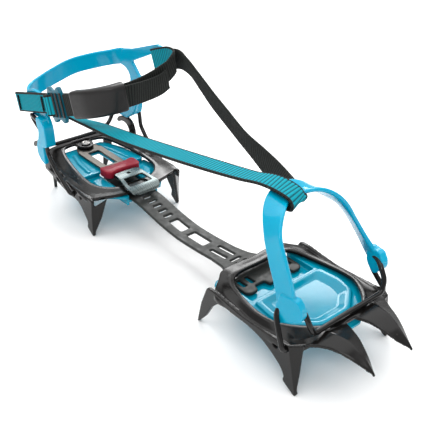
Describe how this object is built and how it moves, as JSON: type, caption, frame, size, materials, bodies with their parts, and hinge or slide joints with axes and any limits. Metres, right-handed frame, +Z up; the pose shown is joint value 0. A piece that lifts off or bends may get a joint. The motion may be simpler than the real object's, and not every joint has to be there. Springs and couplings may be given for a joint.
{
  "type": "strap-on crampon",
  "caption": "Strap-on walking crampon with two spiked steel frames, a linking bar, moulded toe and heel bands on wire bails, and a webbing strap with a ladder buckle.",
  "frame": {"origin": "point on the ground below the centre of the whole crampon", "axes": "+X towards the toe, +Y towards the left side of the foot, +Z up; the point tips stand on z = 0"},
  "size_m": [0.3479, 0.0921, 0.1292],
  "materials": {
    "black_steel": "gloss",
    "dark_steel": "satin",
    "wire_steel": "gloss",
    "cyan_plastic": "gloss",
    "band_plastic": "gloss",
    "rivet_steel": "satin",
    "stainless_satin": "satin",
    "stainless_bright": "gloss",
    "red_plastic": "matte",
    "webbing_cyan": "woven",
    "webbing_black": "woven",
    "thread": "matte",
    "buckle_plastic": "satin",
    "sleeve_rubber": "satin"
  },
  "bodies": {
    "front_section": {"front_frame": "black_steel", "front_antiball_plate": "cyan_plastic", "linking_bar": "dark_steel", "webbing_near_leg": "webbing_cyan", "webbing_far_leg": "webbing_black"},
    "toe_bail": {"toe_wire": "wire_steel", "toe_band": "band_plastic"},
    "heel_section": {"heel_frame": "black_steel", "heel_antiball_plate": "cyan_plastic", "tab_rivet": "rivet_steel"},
    "adjuster_lever": {"adjuster_blade": "stainless_satin", "adjuster_tab": "red_plastic", "adjuster_clip": "stainless_bright"},
    "heel_bail": {"heel_wire": "wire_steel", "heel_band": "band_plastic", "webbing_stub": "webbing_cyan", "stub_tack_rear": "thread", "stub_tack_front": "thread", "webbing_ankle_run": "webbing_cyan", "webbing_tail": "webbing_black"},
    "buckle": {"buckle": "buckle_plastic"},
    "keeper": {"keeper_sleeve": "sleeve_rubber"}
  },
  "joints": [
    {"name": "length_adjust", "type": "slide", "parent": "front_section", "child": "heel_section", "axis": [1, 0, 0], "range_m": [-0.0128, 0.0128], "deforming": ["webbing_near_leg", "webbing_far_leg"]},
    {"name": "toe_bail_fold", "type": "hinge", "parent": "front_section", "child": "toe_bail", "pos_m": [0.1325, 0, 0.0282], "axis": [0, -1, 0], "range_deg": [0, 40], "deforming": ["webbing_near_leg", "webbing_far_leg"]},
    {"name": "adjuster_lift", "type": "hinge", "parent": "heel_section", "child": "adjuster_lever", "pos_m": [-0.1305, 0, 0.0343], "axis": [0, -1, 0], "range_deg": [0, 7], "stiffness_Nm_per_rad": 1.2, "springref_deg": -1.15, "deforming": ["adjuster_blade"]},
    {"name": "heel_bail_fold", "type": "hinge", "parent": "heel_section", "child": "heel_bail", "pos_m": [-0.091, 0, 0.026], "axis": [0, 1, 0], "range_deg": [0, 30], "deforming": ["webbing_near_leg", "webbing_far_leg"]},
    {"name": "buckle_tilt", "type": "hinge", "parent": "heel_bail", "child": "buckle", "pos_m": [-0.1031, -0.0427, 0.0935], "axis": [0.2756, 0, -0.9613], "range_deg": [0, 20], "deforming": ["webbing_ankle_run", "webbing_tail"]},
    {"name": "keeper_travel", "type": "hinge", "parent": "heel_bail", "child": "keeper", "pos_m": [-0.071, -0.0133, 0.1035], "axis": [-0.2691, -0.073, 0.9603], "range_deg": [0, 16], "deforming": ["webbing_ankle_run", "webbing_tail"]}
  ]
}
